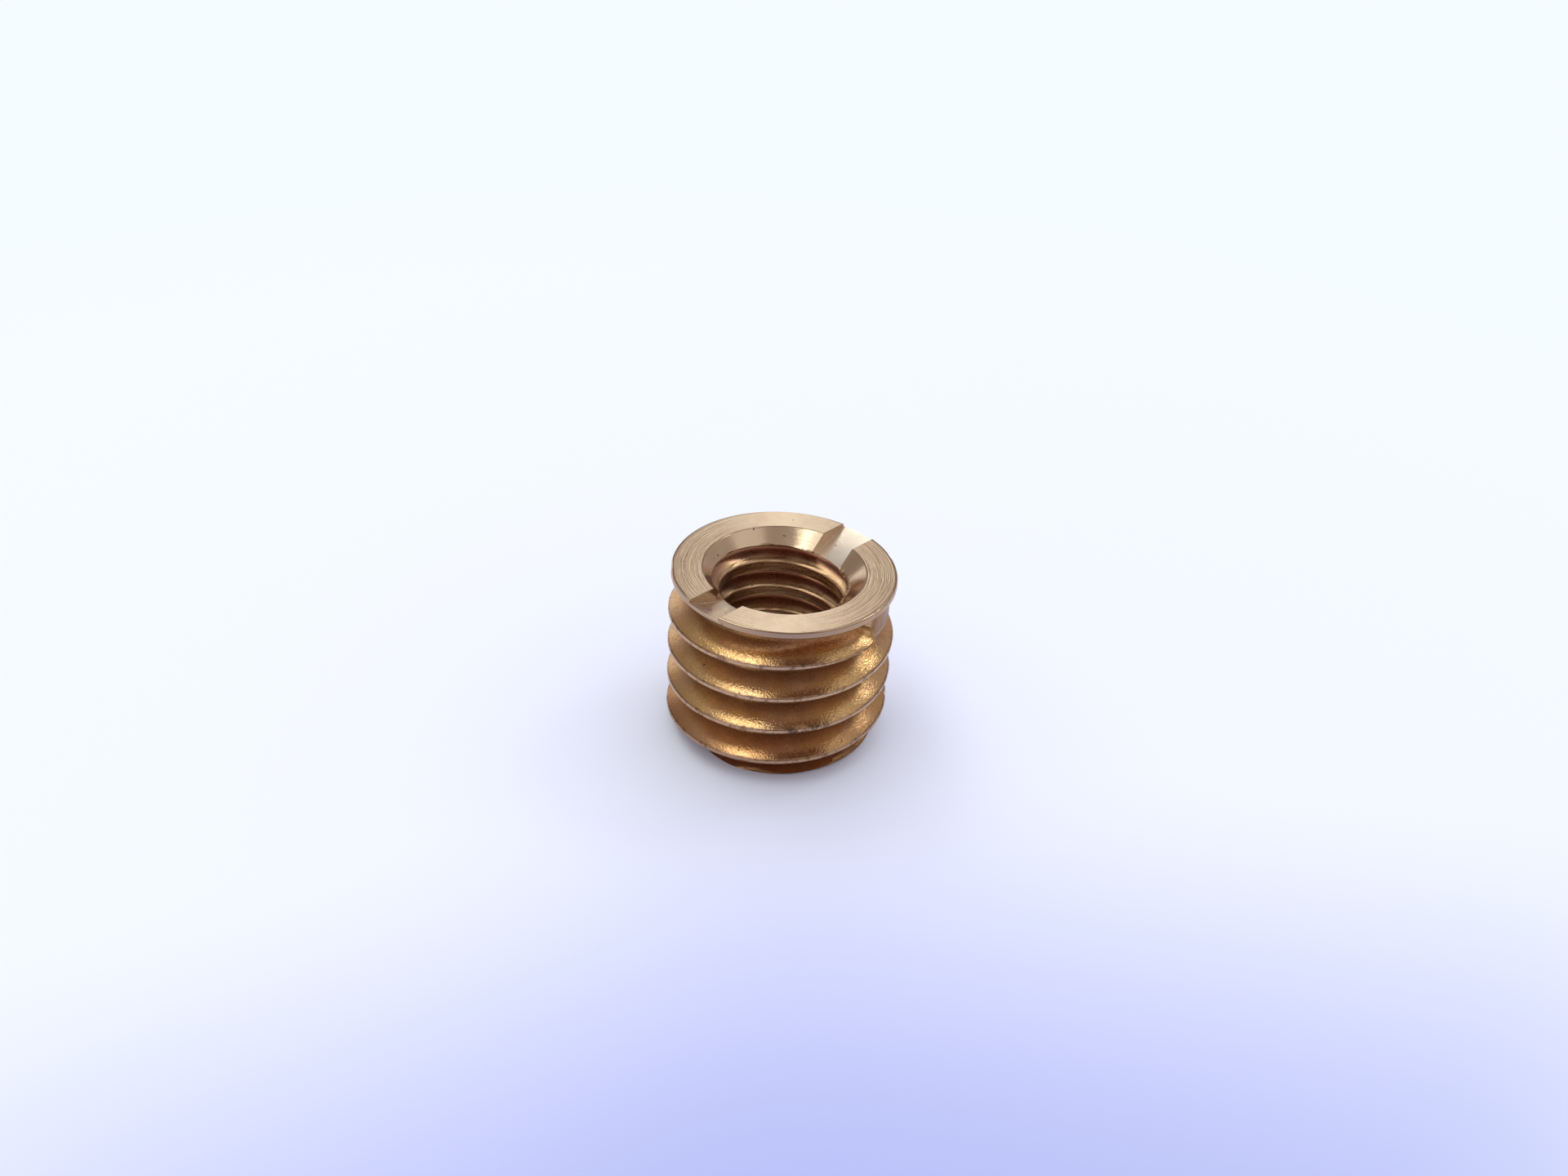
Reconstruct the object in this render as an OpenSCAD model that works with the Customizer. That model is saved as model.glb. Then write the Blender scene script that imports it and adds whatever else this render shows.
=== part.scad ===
// Reducer bushing: a coarse outer thread, a bore for a finer screw and a driver slot.
// The flat end stands on z = 0, the axis is Z and the driver slot runs along X.

/* [Body] */
// Height from the flat end to the driven end
body_h = 7.6; // [6.5:0.1:12]
// How far the rim round the driven end lies inside the crests
rim_drop = 0.09; // [0.02:0.01:0.2]
// Height of the rim's straight edge
rim_h = 0.25; // [0.2:0.05:0.5]
// Depth of the plain neck between the rim and the thread, below the crests
neck_depth = 0.31; // [0.25:0.01:0.45]
// Height of the neck, with the slopes at its two ends
neck_h = 1.33; // [0.9:0.01:1.8]
// Chamfer round the flat end
foot_chamfer = 0.71; // [0.3:0.01:1]

/* [Outer thread] */
// Diameter over the crests
outer_d = 9.525; // [9.3:0.025:12]
// Distance from crest to crest
outer_pitch = 1.5875; // [1.2:0.0125:2]
// Width of the flat on each crest
outer_land = 0.16; // [0.08:0.02:0.3]
// Radius of the round at each root
outer_root = 0.27; // [0.1:0.01:0.4]
// Angle at which the groove leaves the flat end
outer_start = 130; // [0:5:355]
// Drop from the driven end to the middle of the groove where it stops
outer_stop = 0.63; // [0.6:0.01:1.5]

/* [Bore] */
// Diameter of the screw that the bore takes
inner_d = 6.35; // [5.2:0.05:6.6]
// Depth of the screw's fine thread, past the crests that the bore's wall stands at
inner_depth = 0.55; // [0.4:0.01:0.7]
// How far the driven end's countersink opens past the screw, on the radius
sink_over = 0.205; // [0.05:0.005:0.4]
// The same at the flat end
foot_sink_over = 0.075; // [0.025:0.005:0.3]

/* [Driver slot] */
// Width of the driver slot
slot_w = 1.64; // [1:0.02:2]
// Depth of the slot at the axis
slot_depth = 1.2; // [0.6:0.05:1.6]
// Diameter of the saw that cuts the slot, which dishes its floor
saw_d = 21; // [16:0.5:40]

/* [Hidden] */

// Slope of the thread's flanks, and of the neck's lower end
flank_angle = 30;
// Facets round a turn, sections of the groove a turn, and steps round its root
facets = 120;
outer_steps = 40;
root_steps = 6;
// Cutters run this far past the surface they open, and a groove keeps its flare over the lip
clear = 0.3;
lip = 0.05;

body_r = outer_d / 2;
rim_r = body_r - rim_drop;
neck_r = body_r - neck_depth;
foot_r = body_r - foot_chamfer;
rim_foot = body_h - rim_h;
neck_top = rim_foot - (rim_r - neck_r);
neck_foot = rim_foot - neck_h;
bore_r = inner_d / 2 - inner_depth;
sink_r = inner_d / 2 + sink_over;
foot_sink_r = inner_d / 2 + foot_sink_over;

// Height and angle at which the outer groove stops
stop_z = body_h - outer_stop;
stop_angle = outer_start + 360 * stop_z / outer_pitch;

// Section of the outer groove, a V with a round root, as [radius, height from its middle].
// Its flanks run a lip past the crests, and then out square.
function groove_section() =
    let (
        half = (outer_pitch - outer_land) / 2,
        depth = half / tan(flank_angle) - outer_root,
        centre = body_r - depth + outer_root,
        flare = half + lip * tan(flank_angle),
        turn = 90 - flank_angle
    )
    concat(
        [[body_r + clear, -flare], [body_r + lip, -flare]],
        [for (i = [0 : root_steps])
            let (t = turn * (2 * i / root_steps - 1))
            [centre - outer_root * cos(t), outer_root * sin(t)]],
        [[body_r + lip, flare], [body_r + clear, flare]]
    );

// Solid swept by a section along the right-hand outer helix, from height z0 to z1
module helix_cut(section, z0, z1) {
    count = ceil((z1 - z0) / outer_pitch * outer_steps);
    n = len(section);
    points = [
        for (i = [0 : count], p = section)
            let (
                z = z0 + (z1 - z0) * i / count,
                a = outer_start + 360 * z / outer_pitch
            )
            [p[0] * cos(a), p[0] * sin(a), z + p[1]]
    ];
    sides = [
        for (i = [0 : count - 1], j = [0 : n - 1])
            let (a = i * n + j, b = i * n + (j + 1) % n, c = a + n, d = b + n)
            each [[a, c, b], [b, c, d]]
    ];
    caps = [[for (j = [0 : n - 1]) j], [for (j = [n - 1 : -1 : 0]) count * n + j]];
    polyhedron(points = points, faces = concat(sides, caps), convexity = 10);
}

// Turned blank: foot chamfer, body, neck and rim, with the bore and both countersinks
module blank() {
    rotate_extrude($fn = facets)
        polygon([
            [bore_r, foot_sink_r - bore_r],
            [foot_sink_r, 0],
            [foot_r, 0],
            [body_r, foot_chamfer],
            [body_r, neck_foot],
            [neck_r, neck_foot + neck_depth * tan(flank_angle)],
            [neck_r, neck_top],
            [rim_r, rim_foot],
            [rim_r, body_h],
            [sink_r, body_h],
            [bore_r, body_h - (sink_r - bore_r)]
        ]);
}

// The groove runs in under the rim but leaves the rim whole
module outer_groove() {
    intersection() {
        helix_cut(groove_section(), -outer_pitch / 2, stop_z);
        under_rim();
    }
}

module under_rim() {
    reach = body_r + 2 * clear;
    below = -2 * outer_pitch;
    rotate_extrude($fn = facets)
        polygon([
            [0, below],
            [reach, below],
            [reach, rim_foot + reach - rim_r],
            [neck_r, neck_top],
            [0, neck_top]
        ]);
}

// Past the stop there is no groove above the last crest, so it has only the neck's height
module crest_end() {
    crest_z = stop_z - outer_pitch / 2;
    below = crest_z - outer_land / 2 - neck_depth;
    sweep = 360 * (neck_foot - below) / outer_pitch;
    rotate([0, 0, stop_angle])
        rotate_extrude(angle = sweep, $fn = facets)
            translate([neck_r, below])
                square([neck_depth + clear, neck_foot + neck_depth - below]);
}

// Slot with a dished floor, left by a saw that plunges straight down
module driver_slot() {
    translate([0, 0, body_h - slot_depth + saw_d / 2])
        rotate([90, 0, 0])
            cylinder(d = saw_d, h = slot_w, center = true, $fn = facets);
}

module reducer_bushing() {
    color([0.78, 0.62, 0.36])
        difference() {
            blank();
            outer_groove();
            crest_end();
            driver_slot();
        }
}

reducer_bushing();
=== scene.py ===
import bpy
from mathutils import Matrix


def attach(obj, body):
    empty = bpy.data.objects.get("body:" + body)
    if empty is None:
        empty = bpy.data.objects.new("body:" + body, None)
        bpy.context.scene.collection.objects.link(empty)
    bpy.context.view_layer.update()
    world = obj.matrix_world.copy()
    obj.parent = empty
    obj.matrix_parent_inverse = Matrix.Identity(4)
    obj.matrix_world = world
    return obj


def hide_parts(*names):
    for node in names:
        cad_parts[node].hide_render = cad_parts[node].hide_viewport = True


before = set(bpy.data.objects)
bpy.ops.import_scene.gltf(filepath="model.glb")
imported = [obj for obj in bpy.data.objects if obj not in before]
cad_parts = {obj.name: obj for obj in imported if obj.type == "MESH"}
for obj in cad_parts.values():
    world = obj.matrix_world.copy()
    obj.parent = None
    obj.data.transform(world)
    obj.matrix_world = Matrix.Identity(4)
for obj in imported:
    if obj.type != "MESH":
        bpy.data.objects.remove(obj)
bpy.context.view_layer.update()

import math

import bpy
from mathutils import Matrix, Vector

scene = bpy.context.scene
scene.view_settings.view_transform = "Standard"
mm = 0.001


class Wire:
    # a socket that arithmetic can be written on, in shader and geometry trees alike
    def __init__(self, tree, socket=None):
        self.tree = tree
        self.socket = socket

    def plug(self, target, value):
        if isinstance(value, Wire):
            self.tree.links.new(value.socket, target)
        else:
            target.default_value = value

    def add(self, kind, settings=None, values=None, out=0):
        made = self.tree.nodes.new(kind)
        for name, value in (settings or {}).items():
            if name == "stops":
                fillRamp(made.color_ramp, value)
            else:
                setattr(made, name, value)
        for name, value in (values or {}).items():
            for each in value if isinstance(value, list) else [value]:
                self.plug(made.inputs[name], each)
        return Wire(self.tree, made.outputs[out] if made.outputs else None)

    def maths(self, operation, *others):
        values = dict(enumerate((self,) + others))
        return self.add("ShaderNodeMath", {"operation": operation}, values)

    def vectorMaths(self, operation, *others, out="Vector"):
        values = dict(enumerate((self,) + others))
        return self.add("ShaderNodeVectorMath", {"operation": operation}, values, out)

    def __add__(self, other):
        return self.maths("ADD", other)

    def __mul__(self, other):
        return self.maths("MULTIPLY", other)

    __radd__ = __add__
    __rmul__ = __mul__

    def __sub__(self, other):
        return self.maths("SUBTRACT", other)

    def __rsub__(self, other):
        return self.add("ShaderNodeMath", {"operation": "SUBTRACT"}, {0: other, 1: self})

    def __truediv__(self, other):
        return self.maths("DIVIDE", other)

    def __neg__(self):
        return self * -1.0

    def __abs__(self):
        return self.maths("ABSOLUTE")

    def above(self, other):
        return self.maths("GREATER_THAN", other)

    def least(self, other, blend=0.0):
        return self.maths("SMOOTH_MIN", other, blend) if blend else self.maths("MINIMUM", other)

    def most(self, other, blend=0.0):
        return self.maths("SMOOTH_MAX", other, blend) if blend else self.maths("MAXIMUM", other)

    def between(self, low, high):
        # 0 at low, 1 at high, eased at both ends
        return self.add("ShaderNodeMapRange", {"interpolation_type": "SMOOTHSTEP"},
                        {"Value": self, "From Min": low, "From Max": high})

    def noise(self, scale, detail=2.0, rough=0.5):
        return self.add("ShaderNodeTexNoise", None,
                        {"Vector": self, "Scale": scale, "Detail": detail, "Roughness": rough})

    def stretched(self, x, y, z):
        return self.vectorMaths("MULTIPLY", (x, y, z))

    def dot(self, way):
        return self.vectorMaths("DOT_PRODUCT", way, out="Value")

    def parts(self):
        split = self.add("ShaderNodeSeparateXYZ", None, {0: self})
        return [Wire(self.tree, split.socket.node.outputs[i]) for i in range(3)]

    def point(self, x, y, z):
        return self.add("ShaderNodeCombineXYZ", None, {0: x, 1: y, 2: z})

    def tint(self, first, second):
        # this wire is the factor from the first colour to the second
        values = {0: self, 6: first, 7: second}
        return self.add("ShaderNodeMix", {"data_type": "RGBA"}, values, out=2)


def fillRamp(ramp, stops):
    while len(ramp.elements) < len(stops):
        ramp.elements.new(0.5)
    for element, (place, colour) in zip(ramp.elements, stops):
        element.position = place
        element.color = colour


def rgb(red, green, blue):
    # a colour as a paint chart gives it, 0 to 255, made linear
    def linear(value):
        share = value / 255
        return share / 12.92 if share <= 0.04045 else ((share + 0.055) / 1.055) ** 2.4

    return (linear(red), linear(green), linear(blue), 1.0)


def span(x, y):
    return (x * x + y * y).maths("SQRT")


def placeInMm(start):
    return start.add("ShaderNodeTexCoord", out="Object").stretched(1 / mm, 1 / mm, 1 / mm)


def newMaterial(name):
    made = bpy.data.materials.new(name)
    made.use_nodes = True
    made.node_tree.nodes.clear()
    return made, Wire(made.node_tree)


def addObject(name, data):
    made = bpy.data.objects.new(name, data)
    scene.collection.objects.link(made)
    return made


view = {
    "place": (0.0, -46.4425, 36.8624),    # mm, before the turn
    "turn": -48.4,                # degrees about the thread's axis, which sets how the slot slants
    "tilt": 0.6158,               # radians, as the aim and the roll are
    "aim": (-0.0005, 0.0385),     # sideways, and up
    "roll": -0.0725,
    "lens": 30.653,
    "sensor": 36.0,
    "clip": (1, 20000),           # mm
}


def setCamera():
    forward = Vector((0.0, math.cos(view["tilt"]), -math.sin(view["tilt"])))
    right = Vector((1.0, 0.0, 0.0))
    up = right.cross(forward)
    sideways, upwards = view["aim"]
    swing = Matrix.Rotation(sideways, 3, up)
    forward, right = swing @ forward, swing @ right
    nod = Matrix.Rotation(upwards, 3, right)
    forward, up = nod @ forward, nod @ up
    lean = Matrix.Rotation(view["roll"], 3, forward)
    right, up = lean @ right, lean @ up
    pose = Matrix((right, up, -forward)).transposed().to_4x4()
    pose.translation = Vector(view["place"]) * mm
    made = addObject("camera", bpy.data.cameras.new("camera"))
    made.matrix_world = Matrix.Rotation(math.radians(view["turn"]), 4, "Z") @ pose
    made.data.sensor_width = view["sensor"]
    made.data.lens = view["lens"]
    made.data.clip_start, made.data.clip_end = (reach * mm for reach in view["clip"])
    scene.camera = made


setCamera()
print("camera set")

bushing = {
    # the tree's inputs, in mm; a groove's height is that of its middle at the +X side
    "sizes": {
        "Height": 7.6,
        "Crest Radius": 4.7625,
        "Crest Round": 0.05,
        "Outer Pitch": 1.5875,
        "Outer Land": 0.16,
        "Outer Root Round": 0.62,
        "Outer Groove Height": 1.0143,
        "Groove Stop": 7.0,
        "Stop Run": 0.02,            # either way, so the cutter comes out over 9 degrees of turn
        "Neck Radius": 4.4525,
        "Neck Round": 0.05,
        "Neck Foot": 6.09,
        "Neck Top": 7.13,
        "Last Flank Lift": 0.12,     # how far the last turn's lower flank stays off the root
        "Last Flank Round": 0.25,
        "Cut Back Round": 0.1,
        "Rim Radius": 4.6725,
        "Rim Foot": 7.35,
        "Edge Round": 0.065,
        "Foot Radius": 4.0525,
        "Foot Round": 0.04,
        "Bore Radius": 2.625,
        "Bore Round": 0.04,
        "Inner Pitch": 1.27,
        "Inner Land": 0.45,
        "Inner Root Round": 0.37,
        "Inner Groove Height": 0.1432,
        "Mouth Radius": 3.38,
        "Mouth Edge": 0.015,
        "Foot Mouth Radius": 3.25,
        "Mouth Round": 0.02,
        "Slot Width": 1.64,
        "Slot Depth": 1.2,
        "Saw Radius": 10.5,
        "Nick Depth": 0.05,
        "Wear Depth": 0.014,
        "Burr Depth": 0.08,
        "Seed": 4.0,
    },
    "flank angle": 30,        # degrees
    "columns": 270,           # points round the axis
    "rows": 28,               # rows of points a pitch
    # rows over the rim's underside, its two bands, its corner and its top, and the flat end
    "under rows": 3,
    "band rows": 5,
    "corner rows": 4,
    "top rows": 14,
    "end rows": 4,
    # pitches that each thread's sheet takes in, and how many of them are below the flat end
    "outer span": 6,
    "inner span": 8,
    "below": 2,
    "outer squeeze": 0.7,     # how far the rows are drawn together at a crest
    "inner squeeze": 0.4,
    "saw facets": 720,
    "slot corner": 0.028,     # mm that each top edge of the slot loses
    "bar length": 12,         # mm, past both sides
    "weld": 2e-7,             # metres
    "crease": 38,             # degrees
    # how fine the wear is, a metre, and the radii and heights in mm over which it starts or ends
    "chips": 900.0,
    "wear": 2600.0,
    "burrs": 5000.0,
    "proud": (4.55, 4.70),    # the crests and the rim
    "burr radius": (2.70, 2.78),
    "burr foot": (6.80, 6.86),
    "burr top": (6.92, 7.00),
    # single dents: degrees round the axis, height, reach and depth in mm
    "dent radius": 4.72,
    "dents": (
        (-85, 7.52, 0.16, 0.07), (-77, 3.05, 0.15, 0.05), (-50, 1.60, 0.20, 0.08),
        (-91, 1.40, 0.14, 0.05), (-150, 4.33, 0.15, 0.05), (35, 4.75, 0.20, 0.07),
        (120, 3.54, 0.16, 0.06), (170, 7.50, 0.15, 0.05),
    ),
}
# how much a flank's radius changes for each mm of height
flankRise = 1 / math.tan(math.radians(bushing["flank angle"]))


def bushingTree(material):
    tree = bpy.data.node_groups.new("turned bushing", "GeometryNodeTree")
    for name in bushing["sizes"]:
        tree.interface.new_socket(name, in_out="INPUT", socket_type="NodeSocketFloat")
    tree.interface.new_socket("Mesh", in_out="OUTPUT", socket_type="NodeSocketGeometry")
    start = Wire(tree)
    given = start.add("NodeGroupInput").socket.node
    size = {name: Wire(tree, given.outputs[name]) for name in bushing["sizes"]}
    height, neck, neckTop = size["Height"], size["Neck Radius"], size["Neck Top"]
    rim, rimFoot, edge = size["Rim Radius"], size["Rim Foot"], size["Edge Round"]
    mouth, lip = size["Mouth Radius"], size["Mouth Edge"]
    columns, rows = bushing["columns"], bushing["rows"]
    underRows, bandRows = bushing["under rows"], bushing["band rows"]
    cornerRows, endRows = bushing["corner rows"], bushing["end rows"]

    def placed(u, radius, z):
        # a point from its turn (0 to 1), radius and height
        angle = u * (2 * math.pi)
        x = radius * angle.maths("COSINE") * mm
        return start.point(x, radius * angle.maths("SINE") * mm, z * mm)

    def sheet(count, shape):
        # a grid of count rows bent by shape(turn, row), which gives a radius and a height
        grid = start.add("GeometryNodeMeshGrid", None, {
            "Size X": 1.0, "Size Y": 1.0, "Vertices X": columns + 1, "Vertices Y": count + 1})
        across, along, _ = start.add("GeometryNodeInputPosition").parts()
        u = ((across + 0.5) * columns).maths("ROUND") / columns
        row = ((along + 0.5) * count).maths("ROUND")
        radius, z = shape(u, row)
        return start.add("GeometryNodeSetPosition", None, {
            "Geometry": grid, "Position": placed(u, radius, z)})

    def ring(count, firstR, firstZ, lastR, lastZ):
        def shape(u, row):
            share = row / count
            return firstR + (lastR - firstR) * share, firstZ + (lastZ - firstZ) * share

        return sheet(count, shape)

    def spread(row, squeeze):
        # rows of one pitch, drawn closer together towards the crest
        turn = row / rows
        return turn + (turn * (2 * math.pi)).maths("SINE") * (squeeze / (2 * math.pi))

    def offset(u, z, grooveHeight, pitch):
        # height above the middle of the nearest groove
        rise = z - grooveHeight - pitch * u
        return rise - pitch * (rise / pitch).maths("ROUND")

    def rounded(distance, width):
        # distance without its sign, with a round bottom
        return distance.most(-distance, width)

    def outerRadius(u, z):
        crest, pitch = size["Crest Radius"], size["Outer Pitch"]
        rootRound = size["Outer Root Round"]
        off = offset(u, z, size["Outer Groove Height"], pitch)
        apex = crest - (pitch - size["Outer Land"]) / 2 * flankRise
        thread = (apex + rounded(off, rootRound) * flankRise).least(crest, size["Crest Round"])

        # above the stop there is no groove, and its neighbour's flank ends at the neck
        def past(level):
            return level.between(size["Groove Stop"] - size["Stop Run"],
                                 size["Groove Stop"] + size["Stop Run"])

        own = z - off
        lone, uncut = past(own + pitch * off.above(0.0)), past(own)
        thread = thread + lone * (thread.least(neck) - thread)
        thread = thread + uncut * (neck - thread)

        # the crest is cut back to the neck, and the last turn's lower flank runs on from that slope
        slope = crest - (z - size["Neck Foot"]) * flankRise
        root = apex + rootRound * (flankRise / 6)    # a smooth maximum lifts its corner by a sixth
        lastFlank = slope.most(root + size["Last Flank Lift"], size["Last Flank Round"])
        limit = slope.most(neck, size["Neck Round"])
        limit = limit + (1 - off.above(0.0)) * (1 - uncut) * (lastFlank - limit)
        return thread.least(limit, size["Cut Back Round"]).least(
            size["Foot Radius"] + z, size["Foot Round"])

    def innerRadius(u, z):
        bore, pitch = size["Bore Radius"], size["Inner Pitch"]
        off = offset(u, z, size["Inner Groove Height"], pitch)
        apex = bore + (pitch - size["Inner Land"]) / 2 * flankRise
        thread = (apex - rounded(off, size["Inner Root Round"]) * flankRise).most(
            bore, size["Bore Round"])
        return thread.most(mouth - (height - z), size["Mouth Round"]).most(
            size["Foot Mouth Radius"] - z, size["Mouth Round"])

    def outerShape(u, row):
        rise = u + spread(row - bushing["below"] * rows, bushing["outer squeeze"])
        z = size["Outer Groove Height"] + size["Outer Pitch"] * rise
        z = z.most(0.0).least(neckTop)
        return outerRadius(u, z), z

    def innerShape(u, row):
        back = bushing["inner span"] * rows - row - bushing["below"] * rows
        rise = u + spread(back, bushing["inner squeeze"])
        z = size["Inner Groove Height"] + size["Inner Pitch"] * rise
        z = z.most(0.0).least(height - lip)
        return innerRadius(u, z), z

    def underRim(u, row):
        first = outerRadius(u, neckTop)
        return first + (neck - first) * (row / underRows), neckTop

    def rimCorner(u, row):
        angle = row * (math.pi / 2 / cornerRows)
        return rim - edge + edge * angle.maths("COSINE"), height - edge + edge * angle.maths("SINE")

    def mouthEdge(u, row):
        last = innerRadius(u, height - lip)
        return mouth + lip + (last - mouth - lip) * row, height - row * lip

    def flatEnd(u, row):
        first, last = innerRadius(u, 0.0), outerRadius(u, 0.0)
        return first + (last - first) * (row / endRows), 0.0

    # up the outside, over the rim, down the bore and back along the flat end
    sheets = [
        sheet(bushing["outer span"] * rows, outerShape),
        sheet(underRows, underRim),
        ring(bandRows, neck, neckTop, rim, rimFoot),
        ring(bandRows, rim, rimFoot, rim, height - edge),
        sheet(cornerRows, rimCorner),
        ring(bushing["top rows"], rim - edge, height, mouth + lip, height),
        sheet(1, mouthEdge),
        sheet(bushing["inner span"] * rows, innerShape),
        sheet(endRows, flatEnd),
    ]
    body = start.add("GeometryNodeJoinGeometry", None, {"Geometry": sheets[::-1]})
    body = start.add("GeometryNodeMergeByDistance", None, {
        "Geometry": body, "Distance": bushing["weld"]})

    # dents and worn places, pressed inwards from the crests and the rim
    def fade(value, name):
        low, high = bushing[name]
        return value.between(low * mm, high * mm)

    here = start.add("GeometryNodeInputPosition")
    x, y, z = here.parts()
    radius = span(x, y)
    shift = size["Seed"] * mm
    seeded = here.vectorMaths("ADD", start.point(shift, shift, 0.0))
    proud = fade(radius, "proud")
    chips = seeded.noise(bushing["chips"], 1.0).between(0.64, 0.80)
    wear = seeded.noise(bushing["wear"])
    press = proud * (chips * size["Nick Depth"] + wear * size["Wear Depth"])
    for turn, level, reach, depth in bushing["dents"]:
        angle = math.radians(turn)
        out = bushing["dent radius"]
        middle = tuple(c * mm for c in (out * math.cos(angle), out * math.sin(angle), level))
        gap = here.vectorMaths("DISTANCE", middle, out="Value") / mm
        press = press + proud * (1 - gap.between(0.0, reach)) * depth
    burr = (1 - fade(radius, "burr radius")) * fade(z, "burr foot") * (1 - fade(z, "burr top"))
    ragged = seeded.noise(bushing["burrs"]).between(0.42, 0.6)
    press = (press + burr * ragged * size["Burr Depth"]) * mm
    inward = here.stretched(-1.0, -1.0, 0.0).vectorMaths("NORMALIZE")
    moved = start.add("ShaderNodeVectorMath", {"operation": "SCALE"}, {0: inward, "Scale": press})
    body = start.add("GeometryNodeSetPosition", None, {"Geometry": body, "Offset": moved})

    # the saw, and a square bar along each top edge of its slot to take the corner off
    def disc(facets, radius, depth, place, turn):
        made = start.add("GeometryNodeMeshCylinder", {"fill_type": "NGON"}, {
            "Vertices": facets, "Radius": radius, "Depth": depth})
        return start.add("GeometryNodeTransform", None, {
            "Geometry": made, "Translation": place, "Rotation": turn})

    sawZ = (height - size["Slot Depth"] + size["Saw Radius"]) * mm
    cutters = [disc(bushing["saw facets"], size["Saw Radius"] * mm, size["Slot Width"] * mm,
                    start.point(0.0, 0.0, sawZ), (math.pi / 2, 0.0, 0.0))]
    for side in (-1, 1):
        place = start.point(0.0, size["Slot Width"] * (0.5 * side * mm), height * mm)
        cutters.append(disc(4, bushing["slot corner"] * mm, bushing["bar length"] * mm,
                            place, (0.0, math.pi / 2, 0.0)))
    cut = start.add("GeometryNodeMeshBoolean", {"operation": "DIFFERENCE", "solver": "MANIFOLD"}, {
        "Mesh 1": body, "Mesh 2": cutters})
    cut = start.add("GeometryNodeMergeByDistance", None, {
        "Geometry": cut, "Distance": bushing["weld"]})

    gentle = start.add("GeometryNodeInputMeshEdgeAngle").maths(
        "LESS_THAN", math.radians(bushing["crease"]))
    smooth = start.add("GeometryNodeSetShadeSmooth", {"domain": "FACE"}, {
        "Geometry": cut, "Shade Smooth": True})
    smooth = start.add("GeometryNodeSetShadeSmooth", {"domain": "EDGE"}, {
        "Geometry": smooth, "Shade Smooth": gentle})
    whole = start.add("GeometryNodeRealizeInstances", None, {"Geometry": smooth})
    whole = start.add("GeometryNodeSetMaterial", None, {"Geometry": whole, "Material": material})
    start.add("NodeGroupOutput", None, {"Mesh": whole})
    return tree


def grow(name, tree, sizes):
    # runs a tree on an empty mesh and keeps its result as a plain mesh at the origin
    base = addObject(name + "Base", bpy.data.meshes.new(name + "Base"))
    modifier = base.modifiers.new("shape", "NODES")
    modifier.node_group = tree
    for item in tree.interface.items_tree:
        if item.in_out == "INPUT":
            modifier[item.identifier] = float(sizes[item.name])
    evaluated = base.evaluated_get(bpy.context.evaluated_depsgraph_get())
    shape = bpy.data.meshes.new_from_object(evaluated)
    base.modifiers.remove(modifier)
    bpy.data.objects.remove(base)
    shape.name = name
    if shape.materials[0] is None:
        shape.materials.pop(index=0)    # the empty slot that the base mesh brings
    return addObject(name, shape)


finish = {
    "bright": rgb(232, 209, 180),     # faces turned last
    "gold": rgb(236, 196, 138),       # thread flanks
    "rose": rgb(222, 190, 166),
    "pale": rgb(244, 238, 228),       # the slot's floor
    "umber": rgb(138, 92, 64),
    "wine": rgb(196, 138, 118),       # the inner thread's roots
    "russet": rgb(176, 112, 70),
    "soot": rgb(58, 40, 34),
    "underside shade": rgb(116, 92, 78),
    "dull": rgb(176, 144, 122),       # crests
    "tarnish and shade": rgb(118, 88, 68),
    "reflected orange": rgb(160, 106, 72),
    "dun": rgb(158, 124, 92),         # the rim's band
    "lathe ridges": 11.0,      # a mm, and finer ones in them
    "lathe depth": 0.002,      # mm
    "face ridges": 5.5,        # how many times as deep they are on the driven end
    "grain": 11.0,             # a mm
    "grain depth": 0.008,
    "chatter depth": 0.02,     # on the inner thread's lands
    "shine": (0.14, 0.23),
    "seam": -2.13,             # radians round the axis, of a rolled seam in one crest
}


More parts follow.
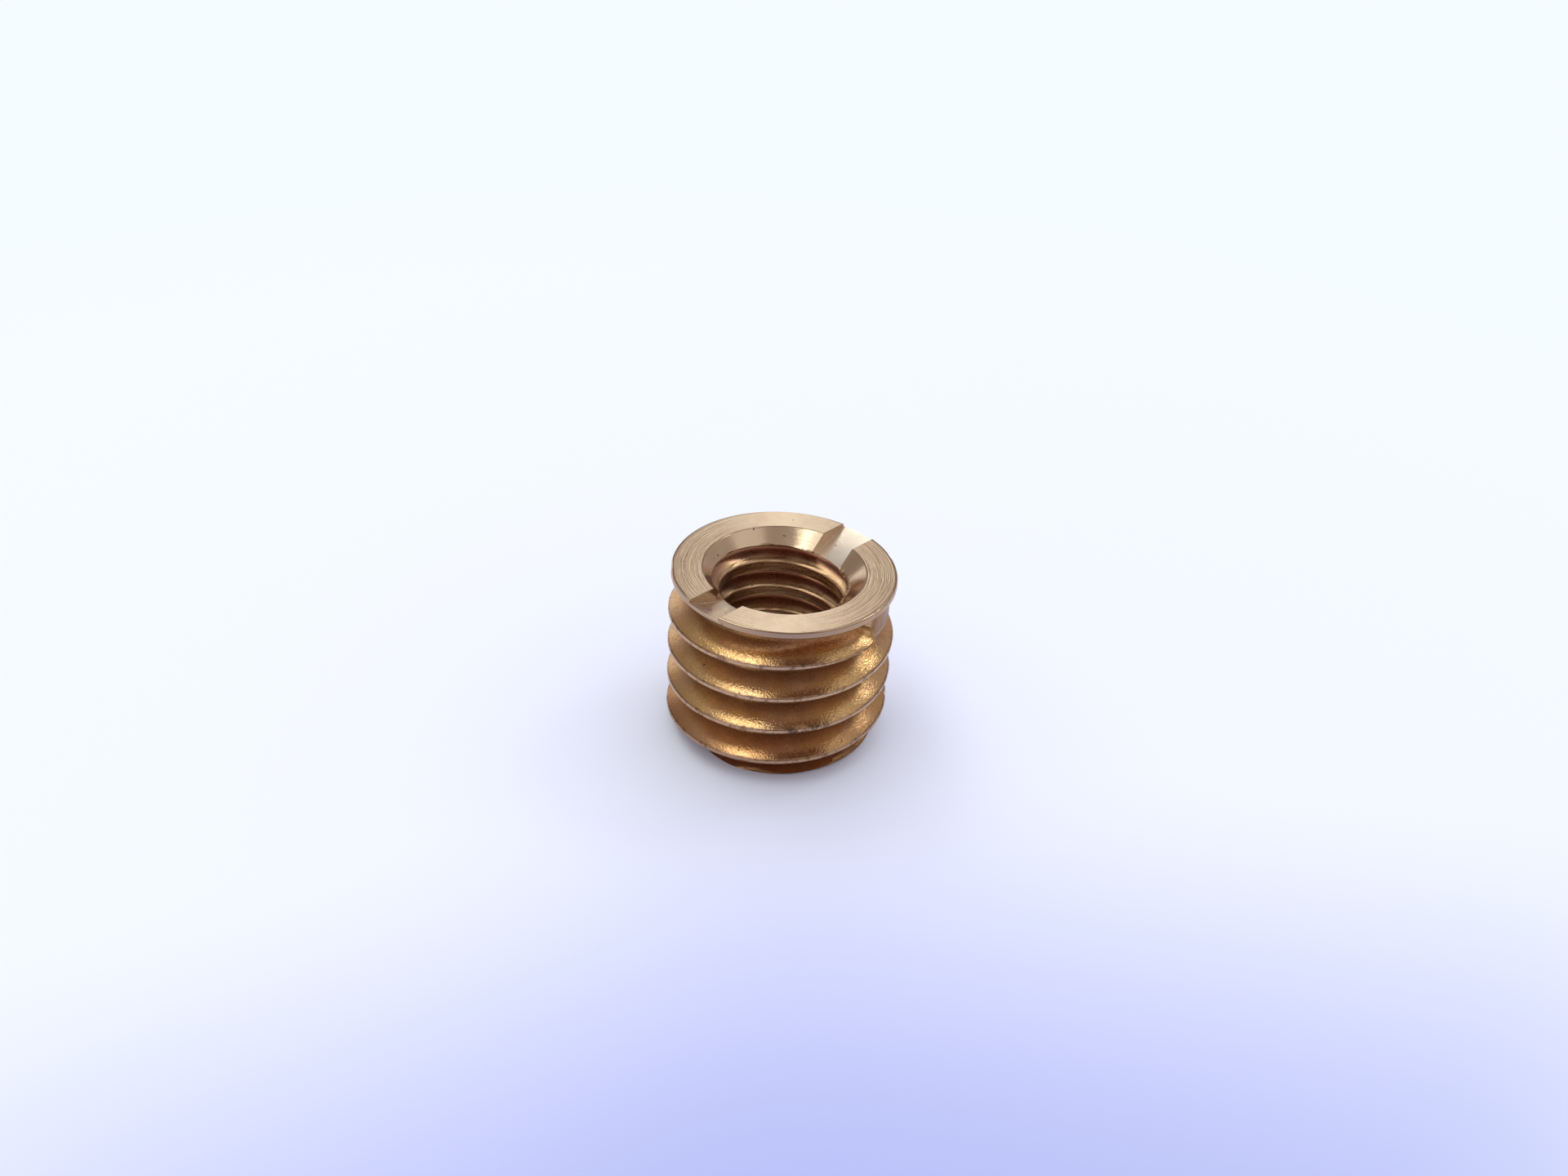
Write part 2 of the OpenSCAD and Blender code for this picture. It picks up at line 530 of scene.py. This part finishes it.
def brassMaterial():
    made, start = newMaterial("turned brass")
    here = placeInMm(start)
    x, y, z = here.parts()
    radius = span(x, y)
    facing = start.add("ShaderNodeTexCoord", out="Normal").parts()[2]
    size = bushing["sizes"]
    top, neckTop, saw = size["Height"], size["Neck Top"], size["Saw Radius"]
    crestR, boreR, mouthR = size["Crest Radius"], size["Bore Radius"], size["Mouth Radius"]
    coneFoot = top - (mouthR - boreR)    # where the countersink meets the bore

    # the slot: its floor and its walls
    bedZ = top - size["Slot Depth"] + saw - (saw ** 2 - x * x).maths("SQRT")
    sawn = (1 - abs(y).above(size["Slot Width"] / 2 + 0.004)) * z.above(bedZ - 0.01) * (
        1 - z.above(top - 0.004))
    wall = sawn * z.above(bedZ + 0.02)
    bed = sawn - wall
    turned = 1 - sawn

    # the driven end and all that is inside its mouth
    topFace = turned * z.between(top - 0.03, top - 0.01)
    pastMouth = radius.between(mouthR - 0.02, mouthR + 0.01)
    inside = turned * (1 - pastMouth)
    cone = inside * z.between(coneFoot + 0.055, coneFoot + 0.105) * radius.between(
        boreR + 0.035, boreR + 0.095)
    bore = (inside - cone).between(0.2, 0.8)
    land = bore * (1 - radius.between(boreR + 0.075, boreR + 0.225))
    burr = inside * z.between(coneFoot - 0.045, coneFoot + 0.035) * (
        1 - z.between(coneFoot + 0.055, coneFoot + 0.175))

    # the outside
    outside = turned * pastMouth * (1 - topFace)
    thread = outside * (1 - z.between(neckTop - 0.11, neckTop - 0.01))
    crest = thread * radius.between(crestR - 0.12, crestR - 0.03)
    root = thread * (1 - radius.between(3.8, 4.5))
    under = thread * (1 - facing.between(-0.7, -0.1))    # flanks that face down, darkened as painted shade
    # the bottom, where shade from the floor is painted, with some dirt
    foot = outside * (1 - z.between(0.5, 1.3))
    rimBand = outside * z.between(neckTop, neckTop + 0.08)
    # the neck under the rim, where shade and reflected light are painted
    upright = 1 - abs(facing).between(0.25, 0.6)
    neck = outside * upright * z.between(5.9, 6.0) * radius.between(4.20, 4.38) * (
        1 - radius.between(4.56, 4.68))

    # marks of the tool, which run round the axis, and of the saw, which run along the slot
    ridges = finish["lathe ridges"]
    around = start.point(x / radius * 0.7, y / radius * 0.7, z * ridges)
    lathe = start.add("ShaderNodeTexNoise", {"noise_dimensions": "4D"}, {
        "Vector": around, "W": radius * ridges, "Scale": 1.0, "Detail": 3.0, "Roughness": 0.8})
    sawLines = here.stretched(0.9, 9.0, 9.0).noise(1.0, 3.0, 0.7)
    marks = lathe + sawn * (sawLines - lathe)
    chatter = here.stretched(0.6, 0.6, 13.0).noise(1.0, 2.0, 0.6)
    grain = here.noise(finish["grain"], 2.0, 0.65)

    # stains and wear
    cloud = here.noise(0.55, 3.0, 0.6)
    patch = here.stretched(1.0, 1.0, 1.6).noise(1.7, 3.0, 0.62)
    worn = here.noise(3.2, 3.0, 0.65)
    specks = here.noise(3.4, 1.0).between(0.775, 0.79)
    seamWay = (math.cos(finish["seam"]), math.sin(finish["seam"]), 0.0)
    towards = here.stretched(1.0, 1.0, 0.0).dot(seamWay) / radius
    seam = crest * towards.between(0.978, 0.99) * z.between(2.6, 2.75) * (1 - z.between(3.2, 3.3))

    # coats of colour, the first one lowest: where, how strong, and what
    coats = (
        (bore, 0.5, finish["gold"]),
        (cloud.between(0.42, 0.66), 0.35, finish["rose"]),
        # the thread's roots, darker: partly dirt and oxide, partly painted shade
        (root * (0.45 + patch * 0.6), 1.0, finish["umber"]),
        # the flanks that face down: painted shade
        (under * (0.4 + patch * 0.6), 1.0, finish["underside shade"]),
        # the neck under the rim: painted shade, with orange patches as painted reflection of the
        # lit flank below
        (neck, 0.85, cloud.between(0.3, 0.7).tint(finish["tarnish and shade"], finish["reflected orange"])),
        (rimBand, 0.75, finish["dun"]),
        (bed, 0.85, finish["pale"]),
        (thread * patch.between(0.5, 0.68), 0.22, finish["russet"]),
        # the lowest turns, darker and redder: painted shade near the floor, with some dirt
        (thread * (1 - z.between(0.9, 2.6)), 0.45, finish["russet"]),
        # darker near the floor: painted shade from the contact shadow below, with some dirt
        (foot, 0.6, finish["tarnish and shade"]),
        (wall, 0.3, finish["russet"]),
        (burr * patch.between(0.35, 0.6), 0.8, finish["umber"]),
        (bore * radius.between(2.75, 3.0), 0.7, finish["wine"]),
        (land * chatter.between(0.44, 0.58), 0.45, finish["umber"]),
        (thread * grain.between(0.38, 0.66), 0.22, finish["umber"]),
        ((topFace + cone) * marks.between(0.45, 0.75), 0.2, finish["rose"]),
        (crest, 0.75, finish["dull"]),
        (crest * worn.between(0.48, 0.66), 0.7, finish["tarnish and shade"]),
        (seam * here.noise(5.0).between(0.4, 0.55), 0.75, finish["soot"]),
        (specks, 0.7, finish["soot"]),
    )
    colour = thread.tint(finish["bright"], finish["gold"])
    for where, strength, coat in coats:
        colour = (where * strength).tint(colour, coat)

    # what each place adds to the roughness
    rougher = (
        (rimBand, 0.12), (root, 0.08), (bore, 0.11), (neck, 0.28), (bed, 0.12), (topFace, -0.04),
        (crest * worn.between(0.4, 0.6), 0.1), (thread, -0.10),
        (thread * grain.between(0.35, 0.65), 0.12),
    )
    low, high = finish["shine"]
    rough = low + patch.between(0.3, 0.75) * (high - low)
    for where, more in rougher:
        rough = rough + where * more

    relief = marks * (1 + topFace * (finish["face ridges"] - 1) - bed * 0.6) * finish["lathe depth"]
    relief = relief + grain * (0.25 + thread * 0.75 - bore * 0.2) * finish["grain depth"]
    relief = relief + land * chatter * finish["chatter depth"]
    bump = start.add("ShaderNodeBump", None, {
        "Strength": 1.0, "Distance": mm, "Height": relief}, out="Normal")
    shader = start.add("ShaderNodeBsdfPrincipled", None, {
        "Base Color": colour, "Metallic": 1.0, "Roughness": rough, "Normal": bump})
    start.add("ShaderNodeOutputMaterial", None, {"Surface": shader})
    return made


brass = brassMaterial()
piece = grow("reducerBushing", bushingTree(brass), bushing["sizes"])
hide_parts("reducer_bushing")
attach(piece, "root")
print("bushing made:", len(piece.data.vertices), "points,", len(piece.data.polygons), "faces")

studio = {
    "white": (0.91, 0.97, 1.0, 1.0),
    "floor reach": 1.5,               # metres
    # the floor, in mm: a lavender foreground that bends away at one side, and a painted shadow at
    # the foot
    "lavender": (0.40, 0.46, 0.82, 1.0),
    "lavender depth": (-28.0, -2.0),
    "lavender fade": (28.0, 46.0),
    "bend": 6.0,
    "bend slope": 0.52,
    "paintedShadow": (0.55, 0.42, 0.52, 1.0),
    "painted shadow fade": (4.0, 9.5),
    "painted shadow strength": 0.6,
    "glow fade": (8.0, 90.0),         # where the floor passes into the backdrop
    # the plain light, which is stronger from the back
    "air": (0.955, 0.93, 1.12, 1.0),
    "ambient": 0.89,
    "more from": (0.05, 0.5),         # the right, and the back
    # the room in reflections, from its darkest corner to its walls and its windows
    "shade": rgb(86, 58, 50),
    "wall": rgb(175, 168, 162),
    "wall level": 0.45,
    "window": rgb(255, 253, 250),
    "room": 1.08,
    "mauve": rgb(188, 170, 196),      # a tint in its two back corners
    "mauve strength": 0.3,
    "sky": 0.32,                      # the level where there is no pane
    # middle, half size and soft edge on a flat picture of the sky, and the level, 0 to 1
    "panes": (
        ((0.00, 0.55), (0.36, 0.12), 0.10, 0.14),
        ((0.00, 0.80), (0.00, 0.50), 0.09, 1.0),
        ((-0.50, 0.70), (0.08, 0.14), 0.10, 0.85),
        ((0.36, 0.22), (0.12, 0.16), 0.12, 0.36),
        ((0.09, -0.05), (0.10, 0.07), 0.08, 0.0),
        ((0.05, -0.80), (0.30, 0.26), 0.16, 0.16),
        ((0.38, -0.12), (0.12, 0.12), 0.09, 0.62),
        ((-0.45, -0.46), (0.08, 0.08), 0.12, 0.80),
        ((-0.62, 0.38), (0.14, 0.14), 0.12, 0.20),
        ((-0.28, -0.22), (0.08, 0.11), 0.08, 1.0),
    ),
}


def toView(wire):
    # a way or a place in the view's own frame, whose Y runs away from the camera
    return wire.add("ShaderNodeVectorRotate", {"rotation_type": "Z_AXIS"}, {
        "Vector": wire, "Angle": -math.radians(view["turn"])})


def lightPath(start, name):
    return start.add("ShaderNodeLightPath", out=name)


def floorMaterial():
    made, start = newMaterial("pale floor")
    across, away, _ = toView(placeInMm(start)).parts()
    distance = span(across, away)
    away = away + (-across).most(0.0, studio["bend"]) * studio["bend slope"]
    near = 1 - away.between(*studio["lavender depth"])
    lavender = near * (1 - distance.between(*studio["lavender fade"]))
    # a painted shadow on the floor, close to the bushing's foot on the near side
    paintedShadow = near * (1 - distance.between(*studio["painted shadow fade"])) * studio["painted shadow strength"]
    tone = paintedShadow.tint(lavender.tint(studio["white"], studio["lavender"]), studio["paintedShadow"])
    lit = start.add("ShaderNodeBsdfDiffuse", None, {"Color": tone})
    glow = start.add("ShaderNodeEmission", None, {"Color": studio["white"], "Strength": 1.0})
    seen = lightPath(start, "Is Camera Ray").most(lightPath(start, "Is Glossy Ray"))
    seen = seen.most(lightPath(start, "Is Transmission Ray"))
    fill = seen * distance.between(*studio["glow fade"])
    both = start.add("ShaderNodeMixShader", None, {0: fill, 1: lit, 2: glow})
    start.add("ShaderNodeOutputMaterial", None, {"Surface": both})
    return made


def makeFloor():
    reach = studio["floor reach"]
    shape = bpy.data.meshes.new("floor")
    corners = [(-reach, -reach, 0), (reach, -reach, 0), (reach, reach, 0), (-reach, reach, 0)]
    shape.from_pydata(corners, [], [(0, 1, 2, 3)])
    shape.materials.append(floorMaterial())
    addObject("floor", shape)


def makeWorld():
    scene.world = bpy.data.worlds.new("studio")
    scene.world.use_nodes = True
    tree = scene.world.node_tree
    tree.nodes.clear()
    start = Wire(tree)

    # the room, which only reflections see: panes on a flat picture of the sky
    x, y, z = toView(start.add("ShaderNodeTexCoord", out="Generated")).parts()
    flatX, flatY = x / (z + 1.0).most(0.05), y / (z + 1.0).most(0.05)
    level = studio["sky"]
    for (midX, midY), (halfX, halfY), edge, bright in studio["panes"]:
        gapX, gapY = abs(flatX - midX), abs(flatY - midY)
        inside = (1 - gapX.between(halfX, halfX + edge)) * (1 - gapY.between(halfY, halfY + edge))
        level = level + inside * (bright - level)
    tone = start.add("ShaderNodeValToRGB", {"stops": (
        (0.0, studio["shade"]), (studio["wall level"], studio["wall"]),
        (1.0, studio["window"]))}, {0: level})
    wide = abs(flatX)
    corner = flatY.between(0.36, 0.5) * wide.between(0.2, 0.42) * (1 - wide.between(0.48, 0.56))
    tone = (corner * studio["mauve strength"]).tint(tone, studio["mauve"])

    right, back = studio["more from"]
    plain = (1 + (y * back + x * right)) * studio["ambient"]
    room, air, backdrop = (
        start.add("ShaderNodeBackground", None, {"Color": colour, "Strength": strength})
        for colour, strength in (
            (tone, studio["room"]), (studio["air"], plain), (studio["white"], 1.0)))
    mirrored = lightPath(start, "Is Glossy Ray").most(lightPath(start, "Is Transmission Ray"))
    both = start.add("ShaderNodeMixShader", None, {0: mirrored, 1: air, 2: room})
    both = start.add("ShaderNodeMixShader", None, {
        0: lightPath(start, "Is Camera Ray"), 1: both, 2: backdrop})
    start.add("ShaderNodeOutputWorld", None, {"Surface": both})


lamps = {
    # places in mm in the view's frame, length front to back and width in mm, spin in degrees
    "overhead": {"place": (-100, 6, 240), "length": 300, "width": 72, "spin": 16, "bright": 1.65},
    "rightBack": {"place": (152, 108, 205), "length": 60, "width": 60, "spin": 0, "bright": 3.1},
}
lampColour = (1.0, 0.97, 0.86)
lampAim = Vector((0, 0, 4 * mm))    # about the middle of the bushing


def makeLamp(name, place, length, width, spin, bright):
    lamp = bpy.data.lights.new(name, "AREA")
    lamp.shape = "RECTANGLE"
    lamp.size, lamp.size_y = length * mm, width * mm
    lamp.energy = bright * math.pi * length * width * mm * mm
    lamp.color = lampColour
    made = addObject(name, lamp)
    spot = Matrix.Rotation(math.radians(view["turn"]), 3, "Z") @ Vector(place) * mm
    aim = (lampAim - spot).to_track_quat("-Z", "Y")
    made.location = spot
    made.rotation_mode = "QUATERNION"
    made.rotation_quaternion = aim @ Matrix.Rotation(math.radians(spin), 3, "Z").to_quaternion()


makeFloor()
makeWorld()
for name, facts in lamps.items():
    makeLamp(name, **facts)
print("stage set")
